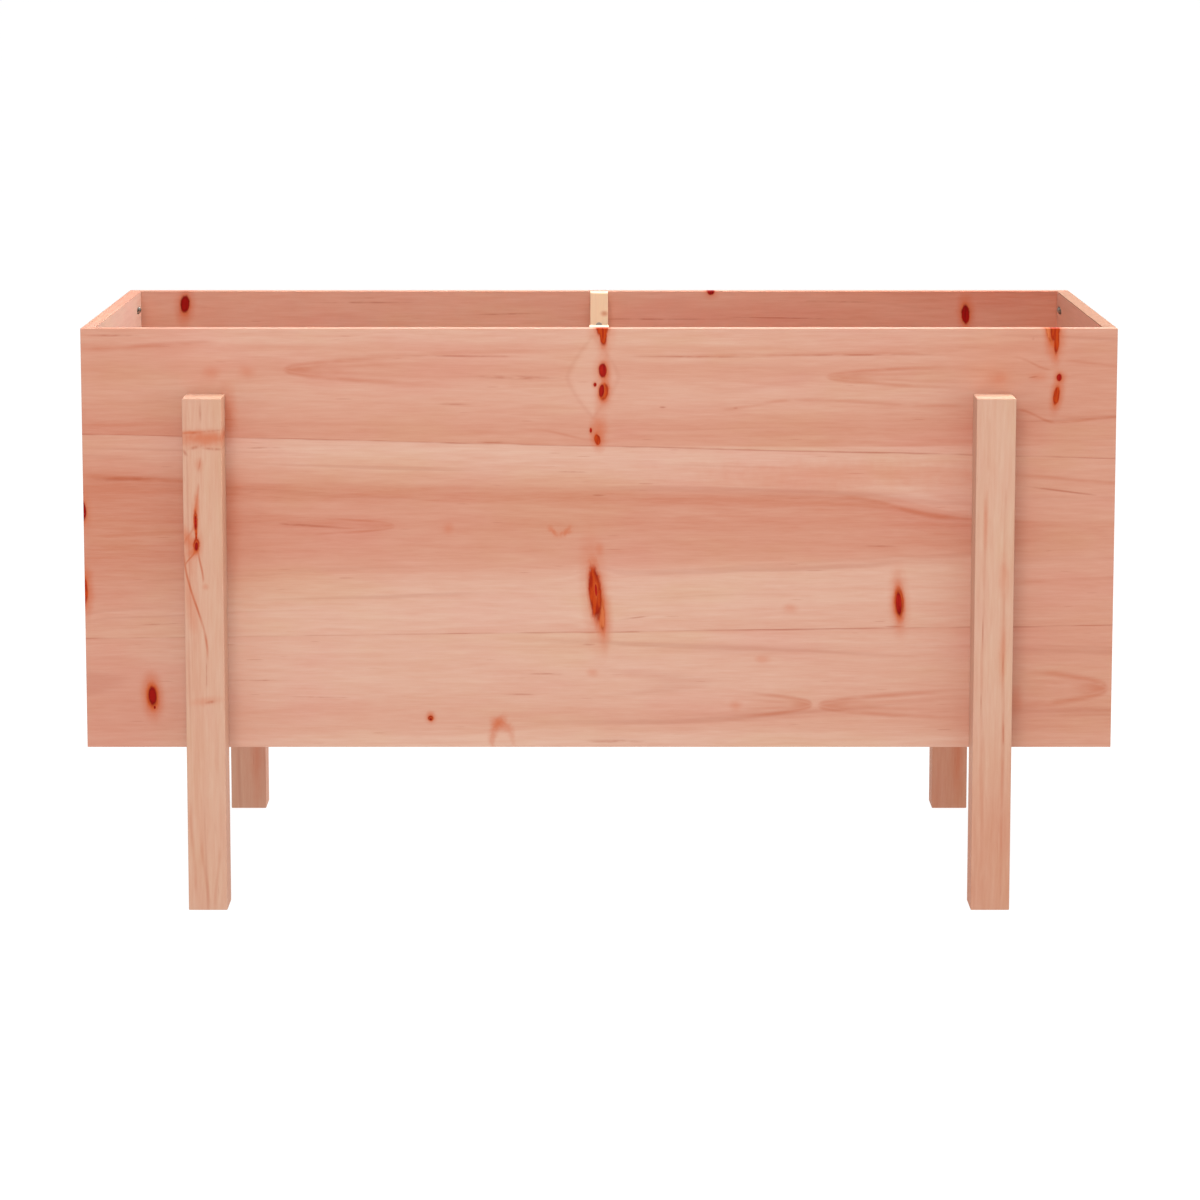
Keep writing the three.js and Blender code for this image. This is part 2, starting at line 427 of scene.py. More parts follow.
def arch(shader, grain, tip, drop, way, opening, length):
    """A cathedral figure: two nested curves that open along the grain from a tip."""
    run = (grain.along - tip * MM) * (way / (length * MM))
    side = abs((grain.across + grain.wander * 0.4 - drop * MM) / (opening * MM))
    arm = shader.math("SQRT", run.at_least(0.0))
    outer = shader.step(abs(side - arm), 0.24, 0.0)
    inner = shader.step(abs(side - arm * 0.55 + 0.12), 0.20, 0.0) * shader.step(run, 0.1, 0.3)
    filled = shader.step(side - arm, 0.12, -0.25) * shader.step(run, 0.42, 0.0)
    shown = shader.step(run, 1.0, 0.35) * shader.step(run, -0.02, 0.03)
    return (outer * 0.75 + inner * 0.4).at_least(filled) * shown * 0.5


def bend(shader, grain, start, start_across, end, end_across, width, strength):
    """A line that leaves one place along the grain, swings sideways and ends along the grain."""
    swing = shader.step(grain.along, start * MM, end * MM)
    off = grain.across - swing * ((end_across - start_across) * MM) - start_across * MM
    shown = shader.step(abs(off + grain.wander * 0.15), width * MM, 0.0)
    fade = 0.12 * (end - start)
    starts = shader.step(grain.along, (start - fade) * MM, (start + fade) * MM)
    ends = shader.step(grain.along, (end + fade) * MM, (end - fade) * MM)
    return shown * (starts * ends) * strength


def figures(shader, grain, look):
    """The cathedral figures and swinging lines: soft, wide and patchy bands of latewood."""
    marks = [arch(shader, grain, *each) for each in look.arches]
    marks += [bend(shader, grain, *each) for each in look.bends]
    found = marks[0]
    for mark in marks[1:]:
        found = found.at_least(mark)
    return found * shader.step(grain.noise(28, 90, 2.0, 0.6), 0.15, 0.60)


def lines(shader, grain, look, rings):
    """Thin rings, resin dashes, streaks and the glue joints."""
    dash = grain.fibres(34, 600, 0.0, 0.5)
    line = rings.at_least(shader.step(dash, 0.80, 0.88) * 0.30)
    if look.streaks:
        broken = grain.noise(45, 160, 2.0, 0.6)
        near = nearest(shader, grain.bent, look.streaks)
        line = line.at_least(shader.step(near, 1.2, 0.1) * shader.step(broken, 0.28, 0.62) * 0.50)
    for joint in grain.joints:
        place = shader.join(grain.along * 9, joint * 10, grain.seed + 9)
        patchy = shader.step(shader.noise(place, 3.0, 0.65), 0.42, 0.62)
        line = line.at_least(shader.step(joint, 1.5 * MM, 0.0) * (patchy * 0.55 + 0.08))
    return line


def diamond(shader, grain, spot, colour):
    """A pale diamond with a faint outline."""
    along, across, length, width = (value * MM for value in spot)
    x, y, _ = shader.split(shader.fit(grain.bent, (along, across), (length, width)))
    round_it = abs(x) + shader.math("POWER", abs(y), 1.4)
    edge = shader.step(abs(round_it - 1.0), 0.16, 0.0)
    colour = shader.mix(shader.step(round_it, 1.0, 0.7) * 0.25, colour, PINE["pale"])
    return shader.mix(edge * 0.08, colour, LINE)


def crescent(shader, grain, spot, swirl, colour):
    """An uneven orange crescent, which is a spot with a hollow in it."""
    along, across, length, width, shift = spot
    size = (length * MM, width * MM)
    uneven = (swirl - 0.5) * 0.9
    outer = shader.length(shader.fit(grain.place, (along * MM, across * MM), size)) + uneven
    moved = ((along + shift[0]) * MM, (across + shift[1]) * MM)
    hollow = shader.length(shader.fit(grain.place, moved, size)) + uneven * 0.5
    shown = shader.step(outer, 1.25, 0.75) * shader.step(hollow, 0.6, 1.15)
    return shader.mix(shown * shader.step(swirl, 0.25, 0.55) * 0.5, colour, AMBER)


def soft_figures(shader, grain, look, colour):
    """Diamonds, crescents, faint blush spots and stronger glow spots: orange patches of the wood, and a
    few spots of painted shade beside a leg.
    """
    for spot in look.diamonds:
        colour = diamond(shader, grain, spot, colour)
    swirl = grain.noise(110, 110, 2.0, 0.5)
    for spot in look.crescents:
        colour = crescent(shader, grain, spot, swirl, colour)
    # blush and glow spots: the wood's orange patches, plus painted shade beside the front left leg
    for spots, strength in ((look.blushes_and_shade, 0.28), (look.glows_and_shade, 0.55)):
        if spots:
            rough = nearest(shader, grain.place, spots) + (swirl - 0.5) * 0.8
            colour = shader.mix(shader.step(rough, 1.6, 0.0) * strength, colour, AMBER)
    return colour


def knots(shader, grain, spots, colours, colour):
    """Knots with a ragged edge, soft stripes inside, a broken rim and a warm glow round them."""
    if not spots:
        return colour
    body, stripe, rim = colours
    ragged = grain.noise(300, 150, 2.0, 0.6)
    rough = nearest(shader, grain.place, spots) + (ragged - 0.5) * 0.42
    colour = shader.mix(shader.step(rough, 3.0, 1.0) * 0.26, colour, AMBER)
    colour = shader.mix(shader.step(rough, 1.6, 1.0) * 0.45, colour, AMBER)
    stripes = grain.noise(420, 45, 1.0, 0.5)
    inside = shader.mix(shader.step(stripes, 0.40, 0.62), body, stripe)
    broken = shader.step(rough, 0.55, 0.9) * shader.step(ragged, 0.35, 0.65)
    inside = shader.mix(broken * 0.8, inside, rim)
    return shader.mix(shader.step(rough, 1.15, 0.80), colour, inside)


def wood(name, look):
    """Planed softwood, coloured by where each point lies in its board."""
    shader = Shader(name)
    grain = Grain(shader, look)
    flow_round(shader, grain, [*look.red_knots, *look.rust_knots])
    red, rings = growth(shader, grain, look)
    end_grain = Value(shader, shader.attribute("end_grain").outputs["Fac"])
    colour = tint(shader, grain, look, red - end_grain * 0.1)
    colour = shader.mix(lines(shader, grain, look, rings), colour, LINE)
    if look.arches or look.bends:
        colour = shader.mix(figures(shader, grain, look), colour, LATEWOOD)
    fibre = grain.fibres(26, 1500, 2.0, 0.6)
    shade = shader.step(fibre, 0.25, 0.75)
    colour = shader.mix(shade * 0.10, colour, FIBRE)
    colour = soft_figures(shader, grain, look, colour)
    for kind, colours in KNOT_COLOURS.items():
        colour = knots(shader, grain, getattr(look, kind + "_knots"), colours, colour)

    shader.feed(shader.surface.inputs["Base Color"], colour)
    shader.feed(shader.surface.inputs["Roughness"], shade * 0.12 + 0.6)
    shader.feed(shader.surface.inputs["Specular IOR Level"], 0.08)
    bump = shader.node("Bump")
    shader.feed(bump.inputs["Strength"], 0.3)
    shader.feed(bump.inputs["Distance"], 0.15 * MM)
    shader.feed(bump.inputs["Height"], fibre)
    shader.feed(shader.surface.inputs["Normal"], bump.outputs["Normal"])
    return shader.material


# -------------------------------- meshes


def new_object(name, data):
    made = bpy.data.objects.new(name, data)
    bpy.context.scene.collection.objects.link(made)
    return made


def mesh_of(solid, name):
    """A bmesh as a mesh. The bmesh is freed."""
    mesh = bpy.data.meshes.new(name)
    solid.to_mesh(mesh)
    solid.free()
    return mesh


def after_modifiers(body):
    """The mesh of an object with its modifiers applied. The object is removed."""
    graph = bpy.context.evaluated_depsgraph_get()
    mesh = bpy.data.meshes.new_from_object(body.evaluated_get(graph))
    bpy.data.objects.remove(body)
    return mesh


def rounded_box(low, high, edge):
    """A box with all its edges rounded."""
    bm = bmesh.new()
    bmesh.ops.create_cube(bm, size=1.0)
    size = high - low
    for vertex in bm.verts:
        vertex.co = Vector(low[i] + (vertex.co[i] + 0.5) * size[i] for i in range(3))
    bmesh.ops.bevel(bm, geom=bm.edges[:], offset=edge, segments=EDGE_STEPS, profile=0.5, affect="EDGES")
    return mesh_of(bm, "board")


def turned(profile, steps):
    """A closed bmesh turned round Z from (radius, height) points that start and end on the axis."""
    bm = bmesh.new()
    angles = [2 * math.pi * i / steps for i in range(steps)]
    rings = []
    for radius, height in profile:
        places = [(radius * math.cos(a), radius * math.sin(a), height) for a in angles]
        if radius == 0:
            places = [(0, 0, height)]
        rings.append([bm.verts.new(place) for place in places])
    for lower, upper in zip(rings, rings[1:]):
        for i in range(steps):
            corners = [lower[i % len(lower)], lower[(i + 1) % len(lower)],
                       upper[(i + 1) % len(upper)], upper[i % len(upper)]]
            bm.faces.new(dict.fromkeys(corners))
    bmesh.ops.recalc_face_normals(bm, faces=bm.faces[:])
    return bm


def cut(mesh, cutters):
    """The mesh with solids cut out of it. The cutters are (bmesh, matrix) pairs that don't overlap."""
    if not cutters:
        return mesh
    tool = bmesh.new()
    for solid, matrix in cutters:
        part = mesh_of(solid, "cutter")
        part.transform(matrix)
        tool.from_mesh(part)
        bpy.data.meshes.remove(part)
    tool_mesh = mesh_of(tool, "cutters")
    body = new_object("cut_body", mesh)
    knife = new_object("cut_knife", tool_mesh)
    boolean = body.modifiers.new("cut", "BOOLEAN")
    boolean.operation = "DIFFERENCE"
    boolean.solver = "EXACT"
    boolean.object = knife
    result = after_modifiers(body)
    bpy.data.objects.remove(knife)
    bpy.data.meshes.remove(tool_mesh)
    return result


def smooth(mesh):
    """Smooth shading that stays flat on the wide faces."""
    for polygon in mesh.polygons:
        polygon.use_smooth = True
    mesh.set_sharp_from_angle(angle=SHARP_ANGLE)
    body = new_object("smooth_body", mesh)
    weighted = body.modifiers.new("normals", "WEIGHTED_NORMAL")
    weighted.keep_sharp = True
    return after_modifiers(body)


def mark_grain(mesh, origin, axes, stretch):
    """Writes the grain coordinates of each vertex, and which faces cut across the grain."""
    grain = mesh.attributes.new("grain", "FLOAT_VECTOR", "POINT")
    for vertex, datum in zip(mesh.vertices, grain.data):
        away = vertex.co - origin
        datum.vector = (away.dot(axes[0]) + stretch, away.dot(axes[1]), away.dot(axes[2]))
    ends = mesh.attributes.new("end_grain", "FLOAT", "FACE")
    for polygon, datum in zip(mesh.polygons, ends.data):
        datum.value = 1.0 if abs(polygon.normal.dot(axes[0])) > END_GRAIN_COSINE else 0.0


def finished(mesh, material, origin=(0, 0, 0), axes=(X, Y, Z), stretch=0.0):
    """The mesh with smooth shading, its grain and its material."""
    mesh = smooth(mesh)
    mark_grain(mesh, Vector(origin), axes, stretch)
    mesh.materials.clear()
    mesh.materials.append(material)
    return mesh


# -------------------------------- screws and nails: places and holes


@dataclass(frozen=True)
class ScrewSize:
    head_radius: float
    head_height: float
    shank_radius: float


LEG_SCREW = ScrewSize(4.2 * MM, 2.4 * MM, 2.25 * MM)
SMALL_SCREW = ScrewSize(3.4 * MM, 2.0 * MM, 1.75 * MM)
POCKET_SCREW = ScrewSize(4.0 * MM, 2.6 * MM, 1.8 * MM)


class Screw:
    """A screw of the frame: its size, where its head sits, and which way it is driven."""

    def __init__(self, name):
        low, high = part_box(name)
        middle = (low + high) / 2
        face, end = name.split("_")[:2]
        out = FACES[face]
        self.name = name
        self.pocket = "_pocket_" in name
        if self.pocket:
            side_low, side_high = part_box(f"{end}_side_panel")
            side_end = side_high.y if out > 0 else side_low.y
            self.size = POCKET_SCREW
            self.length = POCKET_SCREW_LENGTH
            self.drive = Vector((ENDS[end] * math.sin(POCKET_SLOPE), out * math.cos(POCKET_SLOPE), 0))
            crossing = Vector(((side_low.x + side_high.x) / 2, side_end, middle.z))
            self.head = crossing - self.drive * POCKET_SETBACK
        else:
            self.size = LEG_SCREW if "_leg_" in name else SMALL_SCREW
            self.length = high.y - low.y
            self.drive = Vector((0, out, 0))
            self.head = Vector((middle.x, low.y if out > 0 else high.y, middle.z))

    def matrix(self):
        """Places a solid that points down its own -Z."""
        turn = Vector((0, 0, -1)).rotation_difference(self.drive)
        return Matrix.Translation(self.head) @ turn.to_matrix().to_4x4()


ALL_SCREWS = [Screw(name) for name in SCREWS]


def countersink(size):
    """The hole at the face of a board round a countersunk head."""
    gap = 0.15 * MM
    head = size.head_radius + gap
    shank = size.shank_radius + gap
    profile = [(0, CUTTER_RISE), (head, CUTTER_RISE), (head, -gap), (shank, -size.head_height - gap),
               (shank, -COUNTERSINK_DEPTH), (0, -COUNTERSINK_DEPTH)]
    return turned(profile, COUNTERSINK_STEPS)


def pocket():
    """The slanting pocket round a pan head, open at the face of the board."""
    gap = 0.2 * MM
    shank = POCKET_SCREW.shank_radius + gap
    bottom = -POCKET_SETBACK - CUTTER_RISE
    profile = [(0, POCKET_LENGTH), (POCKET_RADIUS, POCKET_LENGTH), (POCKET_RADIUS, -gap), (shank, -gap),
               (shank, bottom), (0, bottom)]
    return turned(profile, POCKET_STEPS)


def nail_places(slat):
    """Where the four nail heads of a slat sit, on its top face over the ledgers."""
    low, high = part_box(slat)
    places = []
    for face in FACES:
        ledger_low, ledger_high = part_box(f"{face}_floor_ledger")
        for side in (-1, 1):
            x = (low.x + high.x) / 2 + side * NAIL_SPREAD
            places.append(Vector((x, (ledger_low.y + ledger_high.y) / 2, high.z)))
    return places


def nail_hole():
    gap = 0.1 * MM
    head = NAIL_HEAD + gap
    shank = NAIL_SHANK + gap
    bottom = -NAIL_LENGTH - gap
    profile = [(0, CUTTER_RISE), (head, CUTTER_RISE), (head, -NAIL_RIM - gap),
               (shank, -NAIL_SINK - gap), (shank, bottom), (0, bottom)]
    return turned(profile, NAIL_HOLE_STEPS)


def holes_in(node):
    """Cutters for the screws whose heads sit in this board, and for the nails through it."""
    low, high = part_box(node)
    slack = 1 * MM
    cutters = []
    if node.startswith("floor_slat"):
        cutters += [(nail_hole(), Matrix.Translation(place)) for place in nail_places(node)]
    if node.endswith("floor_ledger"):
        for slat in SLATS:
            cutters += [(nail_hole(), Matrix.Translation(place)) for place in nail_places(slat)
                        if low.y < place.y < high.y]
    for screw in ALL_SCREWS:
        inside = all(low[i] - slack <= screw.head[i] <= high[i] + slack for i in range(3))
        if inside and (not screw.pocket or "side_panel" in node):
            shape = pocket() if screw.pocket else countersink(screw.size)
            cutters.append((shape, screw.matrix()))
    return cutters


# -------------------------------- boards


def board(node, material, edge, origin, axes, stretch=0.0):
    """Stands for one CAD board: rounded edges, round screw holes and its grain."""
    low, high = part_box(node)
    mesh = cut(rounded_box(low, high, edge), holes_in(node))
    made = new_object(node + "_wood", finished(mesh, material, origin, axes, stretch))
    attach(made, BODY)
    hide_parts(node)


# -------------------------------- front panel

BAND_MIDDLE = 196 * MM  # of the red band in the middle stave, below the rim
BAND_HALF = 39 * MM
MIDDLE_STAVE = (118 * MM, 290 * MM)

# How red the front panel is in the middle of its length, as (mm below the rim, redness). The
# points follow averages that a script measured in the reference, and were retuned by hand.
FRONT_PROFILE = (
    (0, 0.34), (12, 0.36), (19, 0.55), (27, 0.44), (39, 0.60), (62, 0.42), (86, 0.56), (98, 0.66),
    (115, 0.62), (117, 0.34), (130, 0.28), (145, 0.36), (155, 0.56), (167, 0.82), (180, 0.68),
    (192, 0.76), (204, 0.66), (216, 0.70), (228, 0.58), (240, 0.40), (252, 0.27), (275, 0.27),
    (299, 0.38), (301, 0.25), (346, 0.30), (363, 0.35), (381, 0.44), (393, 0.40), (406, 0.24),
)


def narrowed(shader, grain, across):
    """The place in the profile that shows here: the middle stave's band narrows rightwards."""
    off = across - BAND_MIDDLE
    thin_end = shader.step(grain.along, 0.20, 0.40) * (26 * MM)
    upper_half = 41 * MM - grain.along * 0.020 - thin_end
    lower_half = 40 * MM - grain.along * 0.029
    found = off.at_most(0.0) * BAND_HALF / upper_half + off.at_least(0.0) * BAND_HALF / lower_half
    found = (found + BAND_MIDDLE).at_least(MIDDLE_STAVE[0]).at_most(MIDDLE_STAVE[1])
    in_middle = shader.math("COMPARE", grain.stave, 1.0, 0.5)
    return (found - across) * in_middle + across


def front_bands(shader, grain):
    """The reddish bands of the front panel, which fade near the right end. Both ends are redder and
    darker, which is painted shade for the legs' occlusion there.
    """
    drop = narrowed(shader, grain, grain.across + grain.wander * 0.5)
    points = [(mm * MM / PANEL_HEIGHT, redness) for mm, redness in FRONT_PROFILE]
    red = shader.curve(drop / PANEL_HEIGHT, points)
    faded = shader.step(grain.along, 0.38, 0.46) * 0.6
    red = red + (0.42 - red) * faded
    rightwards = shader.step(grain.along, 0.0, 0.3)
    # painted shade: darker, redder wood towards both ends, where the legs shade the panel
    painted_end_shade = shader.step(abs(grain.along + 0.03), 0.33, 0.46) * (0.36 - rightwards * 0.14)
    return red + (painted_end_shade + rightwards * 0.08) * (1 - red * 0.8)


FRONT_LOOK = Look(
    tone=-0.02, spread=0.12, pith=(50, 110, 150), seams=((115.5, 0.0234), (299.8, -0.0132)),
    bands=front_bands,
    red_knots=(
        (3.6, 41, 4.0, 7.2, 0), (-4, 55, 1.5, 2.0, 0), (-8, 100, 1.2, 2.4, 0), (2.5, 61, 2.6, 6.5, 6),
        (-166, 387, 1.2, 1.2, 0), (448.5, 48, 2.6, 3.6, 0), (-3, 258, 1.2, 6, -4),
        (-440, 364, 4.6, 10.2, -4), (294.5, 271.5, 2.9, 12.5, -3)),
    dark_knots=((-440, 363.5, 4.0, 9.4, -4), (-506, 180, 4, 10, 0), (-438, 375, 1.0, 1.6, 0)),
    rust_knots=(
        (3, -2, 6.2, 10, 0), (4, 6, 3.6, 11, -3), (4.6, 62, 4.4, 8.6, 8), (-1.6, 109, 3.0, 5.5, -10),
        (-3.8, 261, 6.2, 27, -5), (294.8, 270.5, 4.6, 15.5, -3), (-166, 386, 2.7, 2.7, 0),
        (-440, 364.5, 5.4, 11.2, -4), (-506, 259, 4, 14, 0), (444, 0, 4.6, 13, 3),
        (445.5, 12, 2.6, 13, 2), (446, 66, 3.0, 9, 8)),
    pale_knots=((2.6, 282, 2.9, 17, -4), (438, 2, 3.0, 12, -12)),
    glows_and_shade=(
        (0, 100, 8, 16, 0), (2, 276, 8, 28, -8), (-505, 257, 8, 22, 0), (444, 10, 9, 20, 0),
        # the glow spot at (-364, 84) is painted shade on the panel beside the left leg's right edge
        (447, 64, 6, 15, 6), (-364, 84, 9, 26, 0), (7, 44, 4, 13, 0), (450, 49, 6, 6, 0),
        (294, 274, 6, 14, -4), (7, 63, 4, 11, 8), (-100, 391, 7, 7, 0), (-166, 384, 4, 5, 0)),
    blushes_and_shade=(
        (411, 367, 6, 14, 0), (-343, 42, 8, 6, 0), (-378, 43, 8, 6, 0), (-148, 197, 5, 6, 0),
        (1, 217, 4, 7, 0), (390, 48, 10, 6, 0), (188, 276, 7, 5, 0), (160, 327, 8, 4, 0),
        # the blush at (-365, 190) is a strip of painted shade beside the left leg's right edge
        (-6, 340, 6, 4, 0), (135, 373, 6, 5, 0), (428, 47, 9, 5, 0), (-365, 190, 12, 60, 0),
        (240, 143, 130, 13, 0)),
    streaks=(
        (-330, 117, 28, 1.1, 0), (-109, 111, 26, 1.1, 1), (-28, 141, 20, 0.9, 1), (-142, 74, 16, 1.4, 0),
        (62, 77, 4, 1.2, 0), (133, 78, 3, 1.2, 0), (-432, 291, 23, 0.9, -2.5), (-276, 365, 36, 0.9, 1),
        (35, 285, 17, 1, -7), (-11, 312, 9, 1.4, 0), (-56, 341, 25, 0.9, 0), (-78, 362, 18, 1.1, 0),
        (276, 215, 18, 1.1, 1), (445, 219, 8, 1.1, -9), (423, 9, 1.6, 2.6, 20), (423, 47, 6, 1.2, -9),
        (211, 239, 11, 0.9, 0), (291, 295, 12, 1.6, 0), (-85, 47, 48, 2.4, 1), (-476, 7, 30, 1.4, 0),
        (-128, 27, 68, 1.2, 0), (94, 27, 65, 1.2, 0), (247, 25, 92, 1.2, 0), (-460, 148, 48, 3.0, 0),
        (456, 160, 50, 1.4, 7), (-290, 194, 50, 1.6, 4), (16, 409, 36, 2.4, 0),
        (-2, 164, 10, 1.2, 0), (-335, 348, 34, 1.0, 0)),
    bends=(
        (40, 27, 330, 24, 3.4, 0.30), (120, 79, 190, 70, 3.0, 0.26), (190, 70, 360, 76, 3.4, 0.30),
        (-500, 146, -400, 150, 4.0, 0.40), (240, 166, 345, 186, 4.0, 0.36),
        (410, 80, 445, 92, 2.6, 0.42), (445, 92, 520, 86, 2.8, 0.36), (-500, 20, -380, 14, 4.2, 0.32),
        (-60, 100, 0, 110, 2.2, 0.28), (-250, 27, -60, 22, 3.2, 0.24), (400, 144, 520, 152, 3.2, 0.28),
        (405, 250, 520, 246, 3.0, 0.22), (-500, 205, -400, 200, 3.6, 0.22),
        (405, 28, 440, 40, 2.4, 0.30), (455, 32, 520, 38, 2.6, 0.26)),
    arches=(
        (-307, 41, 1, 16, 170), (222, 47, 1, 12, 160), (210, 372, -1, 14, 90), (216, 373, 1, 16, 180),
        (501, 356, -1, 22, 120), (-200, 195, -1, 10, 120)),
    crescents=((-96, 408, 12, 24, (1.5, 9)), (-38, 197, 11.5, 8, (0, -5))),
    diamonds=((-6, 47, 25, 40),),
)


# -------------------------------- back and side panels


# painted shade: the back panel darker and redder towards its right end, where the inside of the box is
# shaded
def painted_shade_rightwards(shader, grain):
    return shader.step(grain.along, 0.0, 0.48) * 0.34


# the back panel's redder tone is partly painted shade and painted reddish bounce light from the inside
# of the box
BACK_LOOK = Look(
    seed=21.0, tone=0.58, spread=0.42, pith=(40, -120, 140), seams=((140, -0.012), (270, 0.02)),
    bands=painted_shade_rightwards,
    dark_knots=(
        (-445, 14, 5, 9.5, 5), (394, 25, 4.5, 10.5, -3), (120, 0, 4, 4, 0), (262, 329, 3.5, 9, -6),
        (-212, 188, 3, 10, 8)),
    rust_knots=(
        (60, 362, 5, 13, 4), (-210, 191, 6, 16, 8), (260, 332, 5.6, 15, -6), (-30, 250, 3, 5, 0)),
    pale_knots=((-205, 196, 6, 19, 8), (330, 122, 5, 9, 10)),
    glows_and_shade=(
        (-445, 20, 8, 16, 5), (394, 22, 8, 16, 0), (60, 360, 11, 22, 0), (330, 120, 12, 20, 0),
        (-210, 190, 11, 24, 8)),
    blushes_and_shade=((-330, 90, 20, 8, 0), (160, 205, 26, 9, 0), (-80, 385, 30, 8, 0), (420, 300, 24, 9, 0)),
    streaks=(
        (-250, 12, 60, 1.2, 0), (200, 30, 80, 1.2, 1), (-100, 25, 40, 1.2, -1),
        (-300, 300, 60, 1.2, 1), (60, 31, 90, 1.4, 0), (250, 12, 60, 1.2, 1)),
    bends=(
        (-480, 100, -250, 84, 3.6, 0.36), (-40, 60, 160, 70, 3.2, 0.34),
        (-360, 345, -160, 330, 3.6, 0.34), (60, 236, 300, 222, 3.8, 0.34),
        (-160, 170, 60, 176, 3.2, 0.30), (300, 180, 490, 190, 3.6, 0.34)),
    arches=(
        (-120, 330, 1, 18, 200), (180, 80, -1, 16, 220), (380, 352, -1, 22, 180),
        (-430, 215, 1, 16, 190)),
)

# Per-end wood colours that are partly painted light: the left panel paler for the light that falls on
# its inner face from the right, the right panel's pale and middle colours lighter to lift its shaded
# inner face.
SIDE_PINE_AND_PAINTED_LIGHT = {
    "left": {**PINE, "pale": srgb(220, 185, 167)},
    "right": {"pale": srgb(231, 176, 154), "middle": srgb(220, 163, 140), "red": srgb(160, 115, 90)},
}
SIDE_RIM_REDNESS = {"left": 0.45, "right": 1.05}
SIDE_KNOTS = {
    "left": ((-62, 122, 4.2, 9, 0), (112, 302, 4.6, 14, 5)),
    "right": ((92, 92, 4.4, 12, -5), (32, 362, 4.2, 11, 8)),
}


def side_bands(rim_redness):
    """Bands that make a side panel redder along its rim, and a little on its outer face."""
    def bands(shader, grain):
        at_rim = shader.step(grain.across, 1.4 * MM, 0.4 * MM) * rim_redness
        outside = shader.step(grain.through, 8 * MM, 4 * MM) * 0.25
        return at_rim.at_least(outside)

    return bands


def side_look(end, out):
    """A side panel's wood: the same kind of board at both ends, but with its own knots and its own
    colours, which are partly painted light.
    """
    knots_here = SIDE_KNOTS[end]
    pale = (-120, 250 + 20 * out)
    return Look(
        seed=40.0 + 7 * out, tone=0.11 + 0.01 * out, spread=0.36, pith=(50 + 20 * out, 120, 140),
        seams=((150, 0.015), (290, -0.02)), palette=SIDE_PINE_AND_PAINTED_LIGHT[end],
        bands=side_bands(SIDE_RIM_REDNESS[end]),
        dark_knots=tuple((along, across - 1, 0.55 * length, 0.7 * width, turn)
                         for along, across, length, width, turn in knots_here),
        rust_knots=knots_here,
        pale_knots=((*pale, 4, 8, 0),),
        glows_and_shade=(*((along, across, 2 * length, 1.7 * width, turn)
                 for along, across, length, width, turn in knots_here), (*pale, 8, 14, 0)),
        blushes_and_shade=((60, 200, 22, 8, 0), (-100, 380, 24, 8, 0), (120, 40, 20, 7, 0)),
        streaks=((-90, 60, 40, 1.1, 1), (60, 180, 50, 1.1, 0), (0, 330, 45, 1.1, -1)),
        bends=((-180, 80, 20, 92, 3.4, 0.34), (-60, 264, 150, 250, 3.4, 0.34),
               (-190, 200, -40, 192, 3.2, 0.3)),
        arches=((-40 * out, 226, out, 18, 170), (60 * out, 60, -out, 16, 150), (-20, 352, out, 20, 160)),
    )


def long_panel(node, look):
    low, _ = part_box(node)
    board(node, wood(node + "_wood", look), PANEL_EDGE, (0, low.y, RIM), (X, -Z, Y))


def side_panels():
    for end, out in ENDS.items():
        low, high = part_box(f"{end}_side_panel")
        face = high.x if out > 0 else low.x
        material = wood(f"{end}_side_wood", side_look(end, out))
        origin = (face, 0, RIM)
        board(f"{end}_side_panel", material, PANEL_EDGE, origin, (Y, -Z, X * -out))


# -------------------------------- legs

LEFT_LEG_LOOK = Look(
    seed=44.0, tone=0.46, spread=0.18, pith=(26, 50, 0), palette=LEG_PINE,
    red_knots=((121, -7.1, 7, 1.0, 1), (144.5, -6.6, 4.2, 1.6, -3)),
    rust_knots=((120, -7.1, 10.5, 1.9, 1), (143, -6.6, 6.8, 3.0, -2), (132, -6.7, 14, 1.0, 0)),
    glows_and_shade=(
        (33, -10, 2.2, 15, 3), (38, 4, 7, 26, 0), (138, -14, 12, 5, 20), (104, -5.5, 14, 2.4, 0),
        (150, -10, 5, 6, 30)),
    blushes_and_shade=(
        (40, 2, 9, 40, 0), (200, -13, 30, 6, 8), (150, -15, 26, 5, 10), (297, 2, 4, 14, 8),
        (65, -3, 6, 4, 0), (216, -11, 16, 5, 6), (184, 2, 3, 3, 0)),
    streaks=(
        (33.5, -9, 1.9, 11, 2), (31.5, 9, 1.5, 12, 5), (47.5, -6, 2.2, 9, 14), (53, -16, 5, 2.0, 34),
        (49, 10, 1.7, 12, -4), (64, -2.4, 8, 1.3, -12), (14, -1, 10, 1.6, 0), (270, 1, 30, 0.9, 0),
        (298, 5, 1.9, 7, 10), (298, 4, 1.2, 5, 8)),
    bends=(
        (154, -18.5, 250, 2.5, 2.0, 0.85), (148, -8, 164, -18, 1.9, 0.70),
        (148, -5.0, 178, -0.5, 1.7, 0.70), (84, -4, 112, -7, 2.0, 0.5), (124, -9, 142, -18, 2.4, 0.42),
        (400, -16, 486, -12, 3.2, 0.26), (440, -5, 503, 1, 2.8, 0.26), (446, 12, 503, 7, 2.8, 0.22)),
)


def redder_foot(shader, grain):
    return shader.step(grain.along, 0.28, 0.44) * 0.28


